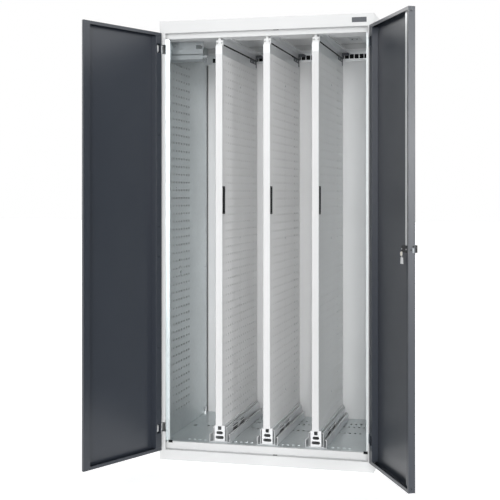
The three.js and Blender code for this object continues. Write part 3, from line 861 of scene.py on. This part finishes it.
class CABINET_OT_floor(bpy.types.Operator):
    """Floor sheet with its slots and pressed tabs, and the bolt that holds the cabinet down"""

    bl_idname = "cabinet.floor"
    bl_label = "Floor"

    def execute(self, context):
        sizes = context.scene.cabinet_perforation
        node = "floor_sheet"
        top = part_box(node)[1].z
        mesh = rounded_copy(node, 0.4 * MM)
        slots = (row(31, sizes.slot_pitch), (sizes.slot_width, sizes.slot_length), 3.5 * MM)
        large_slots = (row(2, 898 * MM), (20 * MM, 28 * MM), 4 * MM)
        for depth, cut in ((374, slots), (505, slots), (570, slots), (372, large_slots)):
            mesh = perforated(
                mesh, SLOT_OF[node], (0, from_front(depth), top), FACING_UP, *cut,
                depth=6 * MM)
        dress(node, mesh)
        tab = turned_prism(rounded_outline(13 * MM, 6 * MM, 2.8 * MM), 3.0 * MM)
        tab = bevelled(tab, 0.8 * MM, 2, 50)
        for number, start, count in ((1, 118, 5), (2, 318, 5), (3, 540, 5), (4, 800, 4)):
            fasteners(
                f"floor_tabs_{number}", tab.copy(), "carcass", "zinc",
                (from_left(start) + (count - 1) * sizes.slot_pitch / 2, from_front(84), top),
                FACING_UP, row(count, sizes.slot_pitch))
        bpy.data.meshes.remove(tab)
        self.anchor()
        return {"FINISHED"}

    def anchor(self):
        """The bolt's threaded stud, its washer and its nut."""
        low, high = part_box("anchor_bolt")
        x, y = (low.x + high.x) / 2, (low.y + high.y) / 2
        radius, reach = (high.x - low.x) / 2 * 1.5, high.z - low.z
        turns = 14
        stud = [(0, 0), (0.68, 0), (0.68, 0.34)]
        for k in range(turns):
            at = 0.36 + 0.58 * k / turns
            stud += [(0.72, at), (0.60, at + 0.02)]
        stud += [(0.5, 1), (0, 1)]
        washer = [(0.7, 0), (1, 0), (1, 0.05), (0.7, 0.05), (0.7, 0)]
        nut = [(0.69, 0), (0.98, 0), (0.98, 0.27), (0.86, 0.31), (0.69, 0.31), (0.69, 0)]
        mesh = joined([
            lathe(profile, radius, reach, steps, (x, y, low.z + reach * lift))
            for profile, steps, lift in ((stud, 24, 0), (washer, 32, 0), (nut, 6, 0.05))])
        mesh = smooth_by_angle(mesh, 40.0)
        link_piece("anchor_bolt_piece", mesh, "carcass", "bright_zinc", ("anchor_bolt",))


class CABINET_OT_ceiling(bpy.types.Operator):
    """Ceiling sheet, its small cover plate, the hanger plate and the guide rails"""

    bl_idname = "cabinet.ceiling"
    bl_label = "Ceiling"

    def execute(self, context):
        # The ceiling takes the lighter copy of the body paint, as painted light
        rounded_node("ceiling_sheet", 0.6 * MM, finish="inner_paint")
        # The hanger plate takes the darker copy of the zinc, as painted shade
        rounded_node("hanger_plate", 0.5 * MM, finish="dull_zinc")
        for number in PANELS:
            rail = f"guide_rail_{number}"
            rounded_node(rail, 0.4 * MM, finish="bright_zinc")
            rounded_node(f"guide_block_{number}", 0.8 * MM, 3)
            low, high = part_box(rail)
            # A dark strip along each rail's lower edge is painted shade in the gap between rail and
            # carrier
            strip(
                rail + "_lip", (low.x + 0.2 * MM, low.y + 4 * MM, low.z - 6.4 * MM),
                (low.x + 1.2 * MM, high.y - 4 * MM, low.z - 0.05 * MM), "carcass", "rubber")
        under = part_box("ceiling_sheet")[1].z - 1.5 * MM
        centre = Vector((from_left(828), from_front(530), under - 2.2 * MM))
        outline = rounded_outline(54 * MM, 120 * MM, 3 * MM)
        plate = turned_prism(outline, 2.0 * MM, Matrix.Translation(centre))
        plate = smooth_by_angle(bevelled(plate, 0.4 * MM, 2, 50))
        link_piece("ceiling_cover_plate", plate, "carcass", "bright_zinc")
        fasteners(
            "ceiling_cover_screws", screw_head(4 * MM, 2 * MM), "carcass", "dark_plate",
            centre, FACING_DOWN, row(2, 24 * MM))
        return {"FINISHED"}


class CABINET_OT_rear_rail(bpy.types.Operator):
    """Slotted rail across the back, with a dark strip behind its slots that paints the shade inside
    the rail
    """

    bl_idname = "cabinet.rear_rail"
    bl_label = "Rear rail"

    def execute(self, context):
        node = "rear_top_rail"
        low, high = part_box(node)
        pitch = 25.22
        middle = (from_left(283 + 9 * pitch), low.y, 1934 * MM)
        dress(node, perforated(
            rounded_copy(node, 0.5 * MM), SLOT_OF[node], middle, FACING_FRONT,
            row(37, pitch * MM), (21.4 * MM, 23 * MM), corner=1.5 * MM, depth=6 * MM))
        # The dark strip is painted shade inside the rail, seen through its slots
        strip(
            "rear_rail_backing", (low.x + 4 * MM, low.y + 2.2 * MM, 1917 * MM),
            (high.x - 4 * MM, low.y + 3.4 * MM, 1951 * MM), "carcass", "rubber")
        return {"FINISHED"}


class CABINET_OT_panels(bpy.types.Operator):
    """Perforated panels with their front bars, screws, grips, top carriers and rear brackets"""

    bl_idname = "cabinet.panels"
    bl_label = "Panels"

    def execute(self, context):
        sizes = context.scene.cabinet_perforation
        for number in PANELS:
            body, x = f"panel_{number}", panel_x(number)
            self.skins(body, x, sizes)
            self.front_bar(body, x)
            self.grip(body, x)
            self.bracket(body)
            rounded_node(f"{body}_top_carrier", 0.6 * MM)
        return {"FINISHED"}

    def skins(self, body, x, sizes):
        """Both skins as one tube, with the finger slot, the holes and a fine upright joint."""
        node = f"{body}_skins"
        columns, rows = sizes.panel_columns, sizes.panel_rows
        low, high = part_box(node)
        grip_low, grip_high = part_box(f"{body}_grip")
        slot = (
            2 * (grip_high.y - grip_low.y + 0.3 * MM), grip_high.z - grip_low.z + 0.6 * MM)
        mesh = bevelled(pierced(
            tube_along_y(low, high, sizes.skin), SLOT_OF[node],
            (x, grip_low.y, (grip_low.z + grip_high.z) / 2), FACING_RIGHT,
            slot, corner=0.3 * MM, depth=THROUGH_PANEL), 0.4 * MM)
        centre = (
            x, from_front(67) + (columns - 1) * sizes.pitch / 2,
            198 * MM + (rows - 1) * sizes.rise / 2)
        mesh = perforated(
            mesh, SLOT_OF[node], centre, FACING_RIGHT, (columns, rows, sizes.pitch, sizes.rise),
            (sizes.hole, sizes.hole), sizes.corner, depth=THROUGH_PANEL)
        dress(node, pierced(
            mesh, SLOT_OF[node], (x, from_front(352), (low.z + high.z) / 2), FACING_RIGHT,
            (1.0 * MM, high.z - low.z - 12 * MM), corner=0.3 * MM, depth=THROUGH_PANEL))
        for side, face, turn in (("right", high.x, FACING_RIGHT), ("left", low.x, FACING_LEFT)):
            fasteners(
                f"{body}_screws_{side}", screw_head(5.5 * MM, 2.2 * MM), body, "bright_zinc",
                (face, from_front(514), 1019 * MM), turn, (2, 3, 316 * MM, 735 * MM))

    def front_bar(self, body, x):
        """Front bar with the groove down its middle."""
        node = f"{body}_front_bar"
        low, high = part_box(node)
        dress(node, pierced(
            rounded_copy(node, 0.5 * MM), SLOT_OF[node],
            (x - 1.0 * MM, low.y, (low.z + high.z) / 2), FACING_FRONT,
            (3.0 * MM, high.z - low.z + 10 * MM), corner=0.4 * MM, depth=2.6 * MM))

    def grip(self, body, x):
        """Sleeve of the finger slot, with a lip on both faces of the panel."""
        node = f"{body}_grip"
        low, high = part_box(node)
        y, z = (low.y + high.y) / 2, (low.z + high.z) / 2
        width, height, half = high.y - low.y, high.z - low.z, (high.x - low.x) / 2
        lip, proud, seat = 2.6 * MM, 1.0 * MM, half - 0.02 * MM
        inner = rounded_outline(width - 5 * MM, height - 5 * MM, 9 * MM, 6)
        outer = rounded_outline(width - 0.2 * MM, height - 0.2 * MM, 1.2 * MM, 6)
        flange = rounded_outline(width + 2 * lip, height + 2 * lip, 4 * MM, 6)
        built = bmesh.new()
        bridge_round(built, [
            [built.verts.new((level, y + a, z + b)) for a, b in outline]
            for outline, level in (
                (inner, -half - proud), (flange, -half - proud), (flange, -seat), (outer, -seat),
                (outer, seat), (flange, seat), (flange, half + proud), (inner, half + proud))])
        mesh = closed_mesh(built, Matrix.Translation((x, 0, 0)))
        mesh = smooth_by_angle(bevelled(mesh, 0.5 * MM, 2, 40), 40.0)
        link_piece(node + "_piece", mesh, body, "black_plastic", (node,))

    def bracket(self, body):
        node = f"{body}_rear_bracket"
        rounded_node(node, 0.4 * MM)
        low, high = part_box(node)
        fasteners(
            f"{body}_bracket_screws", screw_head(4 * MM, 1.8 * MM), body, "bright_zinc",
            (low.x + 2.5 * MM, high.y - 70 * MM, 1908 * MM), FACING_RIGHT, row(2, 56 * MM))


class CABINET_OT_runners(bpy.types.Operator):
    """Telescopic floor runners with their ball cages, balls and rivets"""

    bl_idname = "cabinet.runners"
    bl_label = "Runners"

    def execute(self, context):
        for number in PANELS:
            for part in ("channel", "middle"):
                rounded_node(f"runner_{number}_{part}", 0.5 * MM)
            for side, sign in (("left", -1), ("right", 1)):
                self.balls(f"runner_{number}", side, sign)
            self.carriage(number, panel_x(number))
        return {"FINISHED"}

    def balls(self, body, side, sign):
        """Ball cages and balls on one side of the middle member."""
        low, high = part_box(f"{body}_middle")
        inner = (low.x if side == "left" else high.x) - sign * 2.3 * MM
        x0, x1 = sorted((inner, inner - sign * 3.0 * MM))
        cages = []
        for start in (159, 281):
            for z in (low.z + 25 * MM, low.z + 45 * MM):
                cages.append(block(
                    (x0, from_front(start), z - 6 * MM), (x1, from_front(start + 97), z + 6 * MM)))
        mesh = smooth_by_angle(bevelled(joined(cages), 0.4 * MM))
        link_piece(f"{body}_cages_{side}", mesh, body, "black_plastic")
        ball = bmesh.new()
        bmesh.ops.create_icosphere(ball, subdivisions=2, radius=3.6 * MM)
        fasteners(
            f"{body}_balls_{side}", mesh_from(ball), body, "bright_zinc",
            (inner - sign * 0.8 * MM, from_front(268.5), low.z + 35 * MM), FACING_RIGHT,
            (15, 2, 14.5 * MM, 20 * MM))

    def carriage(self, number, x):
        """Carriage whose front plate has three openings, one above the other."""
        node = f"runner_{number}_carriage"
        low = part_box(node)[0]
        mesh = rounded_copy(node, 0.5 * MM)
        openings = ((16, 17, 61.5, 2), (31, 14, 40, 6.5), (39, 14, 18.5, 6.5))
        for width, height, rise, corner in openings:
            mesh = pierced(
                mesh, SLOT_OF[node], (x, low.y, low.z + rise * MM), FACING_FRONT,
                (width * MM, height * MM), corner * MM, depth=6 * MM)
        dress(node, mesh)
        fasteners(
            f"runner_{number}_rivets", rivet_head(3.4 * MM, 1.4 * MM), f"panel_{number}",
            "bright_zinc", (x, low.y, low.z + 29 * MM), FACING_FRONT, row(2, 37 * MM))


class CABINET_OT_doors(bpy.types.Operator):
    """Door leaves with their hinge channels, pierced edges and hinges"""

    bl_idname = "cabinet.doors"
    bl_label = "Doors"

    def execute(self, context):
        for side in SIDES:
            body = f"door_{side}"
            self.shell(side, f"{body}_shell")
            node = f"{body}_hinge_channel"
            mesh = rounded_copy(node, 0.5 * MM)
            for height in (1501, 1079, 941, 523):
                mesh = pierced(
                    mesh, SLOT_OF[node],
                    on_door(side, 18 * MM, LEAF_THICK - 0.75 * MM, height * MM), door_turn(side),
                    (6 * MM, 6 * MM), corner=2.9 * MM, depth=5 * MM)
            dress(node, mesh)
            for level in ("lower", "upper"):
                rounded_node(f"{body}_hinge_{level}", 0.4 * MM)
        self.latch()
        return {"FINISHED"}

    def shell(self, side, node):
        """Leaf, whose free edge has four small holes on the right door."""
        mesh = rounded_copy(node, 0.8 * MM, 3)
        holes = (
            (18, 1954, 5.5, 2.7), (18, 1008, 7.5, 3.7), (18, 66, 5.5, 2.7), (8.5, 1022, 6.5, 0.6))
        turn = (math.pi / 2, 0.0, math.pi / 2 + OPEN_ANGLE[side])
        for inward, height, size, corner in holes if side == "right" else ():
            mesh = pierced(
                mesh, SLOT_OF[node], on_door(side, LEAF_WIDTH, inward * MM, height * MM), turn,
                (size * MM, size * MM), corner * MM, depth=10 * MM)
        dress(node, mesh)

    def latch(self):
        edge = -(LEAF_START + LEAF_WIDTH)
        plate = block(
            (edge - 0.45 * MM, 5 * MM - PIN_DEPTH, 997 * MM),
            (edge + 0.2 * MM, 12 * MM - PIN_DEPTH, 1016 * MM), door_matrix("right"))
        # The latch plate takes the same darkened copy of the zinc that paints shade on the hanger
        # plate
        link_piece(
            "edge_latch", bevelled(plate, 0.2 * MM), "door_right", "zinc", finish="dull_zinc")


class CABINET_OT_lock(bpy.types.Operator):
    """Lock case, knob, rods and spare keys on the right door"""

    bl_idname = "cabinet.lock"
    bl_label = "Lock"

    def execute(self, context):
        rounded_node("lock_case", 2.0 * MM, 3)
        rounded_node("turn_knob", 1.0 * MM, 3)
        rounded_node("lock_rod_upper", 0.8 * MM)
        rounded_node("lock_rod_lower", 0.8 * MM)
        middle = on_door("right", LEAF_WIDTH - 50 * MM, LEAF_THICK - 1 * MM, 1010 * MM)
        fasteners(
            "lock_case_screws", screw_head(3 * MM, 1.0 * MM), "door_right", "bright_zinc",
            middle, door_turn("right"), row(2, 48 * MM))
        self.keys()
        return {"FINISHED"}

    def keys(self):
        """Two key covers, one blade and the tag, flat on the leaf's inner face."""
        edge = Matrix.Translation((-(LEAF_START + LEAF_WIDTH), -PIN_DEPTH, 0))
        lay = door_matrix("right") @ edge @ Matrix.Rotation(math.pi / 2, 4, "X")
        face = 29.3 * MM

        def laid(outline, depth, lift=0.0):
            """A flat shape, outlined in millimetres from the leaf's free edge and the floor."""
            place = lay @ Matrix.Translation((0, 0, -face - lift - depth))
            return turned_prism([(a * MM, b * MM) for a, b in outline], depth, place)

        covers = joined([
            laid(rounded_outline(15, 17, 6, 6, (73, 991.5)), 1.0 * MM),
            laid(rounded_outline(15, 17, 6, 6, (79.5, 990)), 0.9 * MM, 1.1 * MM)])
        mesh = smooth_by_angle(bevelled(covers, 0.3 * MM, 2, 50))
        link_piece("key_covers", mesh, "door_right", "key_plastic", ("spare_keys",))
        tag = laid([(55, 950), (87, 950), (83, 976), (59, 976)], 1.6 * MM)
        mesh = smooth_by_angle(bevelled(tag, 0.5 * MM))
        link_piece("key_tag", mesh, "door_right", "nylon")
        blade = laid([(68, 970), (72, 970), (72, 984), (68, 984)], 0.9 * MM, 1.0 * MM)
        link_piece("key_blade", bevelled(blade, 0.2 * MM), "door_right", "bright_zinc")


class CABINET_OT_plate(bpy.types.Operator):
    """Blank name plate with a raised field"""

    bl_idname = "cabinet.plate"
    bl_label = "Name plate"

    def execute(self, context):
        low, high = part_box("name_plate")
        rounded_node("name_plate", 0.4 * MM)
        margin = 3.0 * MM
        strip(
            "name_plate_field", (low.x + margin, low.y - 0.25 * MM, low.z + margin),
            (high.x - margin, low.y - 0.02 * MM, high.z - margin), "carcass", "dark_plate",
            0.1 * MM)
        return {"FINISHED"}


def seen_directly(writer):
    """One where a ray comes from the camera or from a mirror-like or clear surface."""
    rays = writer.tree.nodes.new("ShaderNodeLightPath").outputs
    total = rays["Is Camera Ray"]
    for name in ("Is Glossy Ray", "Is Transmission Ray"):
        total = writer.math("MAXIMUM", total, rays[name])
    return total


class CABINET_OT_stage(bpy.types.Operator):
    """Studio floor, even light, soft lamps and the camera"""

    bl_idname = "cabinet.stage"
    bl_label = "Stage"

    def execute(self, context):
        settings = context.scene.cabinet_stage
        self.floor(context, settings)
        self.world(context, settings)
        for name, setting, *angles in LAMPS:
            self.lamp(context, name, getattr(settings, setting), *angles)
        self.camera(context)
        context.scene.view_settings.view_transform = "Standard"
        return {"FINISHED"}

    def floor(self, context, settings):
        """Wide pale floor just under the cabinet, whitened where it is seen directly."""
        built = bmesh.new()
        bmesh.ops.create_grid(built, x_segments=1, y_segments=1, size=40)
        bmesh.ops.translate(built, verts=built.verts, vec=(0, 0, -0.6 * MM))
        ground = bpy.data.objects.new("studio_floor", mesh_from(built))
        context.scene.collection.objects.link(ground)
        made = Finish("studio_floor", 0.0, 0.75, 0.1)
        made.tinted(settings.floor, made.ranged(made.noise(0.8, 2.0), 0.99, 1.01))
        made.shader.inputs["Emission Color"].default_value = (1, 1, 1, 1)
        glow = made.math("MULTIPLY", seen_directly(made), settings.glow)
        made.put(glow, made.shader.inputs["Emission Strength"])
        ground.data.materials.append(made.material)
        ground.visible_shadow = False

    def world(self, context, settings):
        """Even light all round, and white where the world is seen directly."""
        world = bpy.data.worlds.new("studio")
        world.use_nodes = True
        context.scene.world = world
        writer = NodeWriter(world.node_tree)
        nodes = world.node_tree.nodes
        lighting = nodes["Background"]
        lighting.inputs["Color"].default_value = (1, 1, 1, 1)
        lighting.inputs["Strength"].default_value = settings.sky
        backdrop = writer.node(
            "ShaderNodeBackground", "Background", Color=(1, 1, 1, 1), Strength=1.0)
        both = nodes.new("ShaderNodeMixShader")
        writer.put(seen_directly(writer), both.inputs["Fac"])
        writer.put(lighting.outputs["Background"], both.inputs[1])
        writer.put(backdrop, both.inputs[2])
        writer.put(both.outputs["Shader"], nodes["World Output"].inputs["Surface"])

    def lamp(self, context, name, strength, yaw, rise, spread):
        """Soft light from so many degrees right of the front and above the level."""
        light = bpy.data.lights.new(name, "SUN")
        light.energy = strength
        light.angle = math.radians(spread)
        lamp = bpy.data.objects.new(name, light)
        lamp.rotation_euler = (math.radians(90 - rise), 0, math.radians(yaw))
        context.scene.collection.objects.link(lamp)

    def camera(self, context):
        lens = bpy.data.cameras.new("view")
        lens.sensor_width = SENSOR
        lens.lens = SENSOR * FOCAL_LENGTH / PHOTO_SIZE
        lens.shift_x = (PHOTO_SIZE / 2 - LENS_CENTRE[0]) / PHOTO_SIZE
        lens.shift_y = (LENS_CENTRE[1] - PHOTO_SIZE / 2) / PHOTO_SIZE
        lens.clip_start = 0.05
        eye = bpy.data.objects.new("view", lens)
        eye.location = EYE
        eye.rotation_euler = (math.radians(90), 0, math.radians(EYE_YAW))
        context.scene.collection.objects.link(eye)
        context.scene.camera = eye


OPERATORS = (
    CABINET_OT_carcass,
    CABINET_OT_stiles,
    CABINET_OT_liners,
    CABINET_OT_floor,
    CABINET_OT_ceiling,
    CABINET_OT_rear_rail,
    CABINET_OT_panels,
    CABINET_OT_runners,
    CABINET_OT_doors,
    CABINET_OT_lock,
    CABINET_OT_plate,
    CABINET_OT_stage,
)


class CABINET_PT_sidebar(bpy.types.Panel):
    """Lists the groups of pieces with their sizes and colours"""

    bl_idname = "CABINET_PT_sidebar"
    bl_label = "Storage cabinet"
    bl_space_type = "VIEW_3D"
    bl_region_type = "UI"
    bl_category = "Cabinet"

    def draw(self, context):
        layout = self.layout
        for operator in OPERATORS:
            layout.operator(operator.bl_idname)
        for name in SETTINGS:
            settings = getattr(context.scene, name)
            section = layout.box()
            for entry in settings.__annotations__:
                section.prop(settings, entry)


SETTINGS = {
    "cabinet_colours": CabinetColours,
    "cabinet_perforation": CabinetPerforation,
    "cabinet_stage": CabinetStage,
}
CLASSES = (*SETTINGS.values(), *OPERATORS, CABINET_PT_sidebar)


def register():
    for entry in CLASSES:
        bpy.utils.register_class(entry)
    for name, group in SETTINGS.items():
        setattr(bpy.types.Scene, name, PointerProperty(type=group))


def unregister():
    for name in SETTINGS:
        delattr(bpy.types.Scene, name)
    for entry in reversed(CLASSES):
        bpy.utils.unregister_class(entry)


def main():
    """Registers the add-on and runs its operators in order."""
    register()
    for operator in OPERATORS:
        getattr(bpy.ops.cabinet, operator.bl_idname.split(".")[1])()


if __name__ == "__main__":
    main()
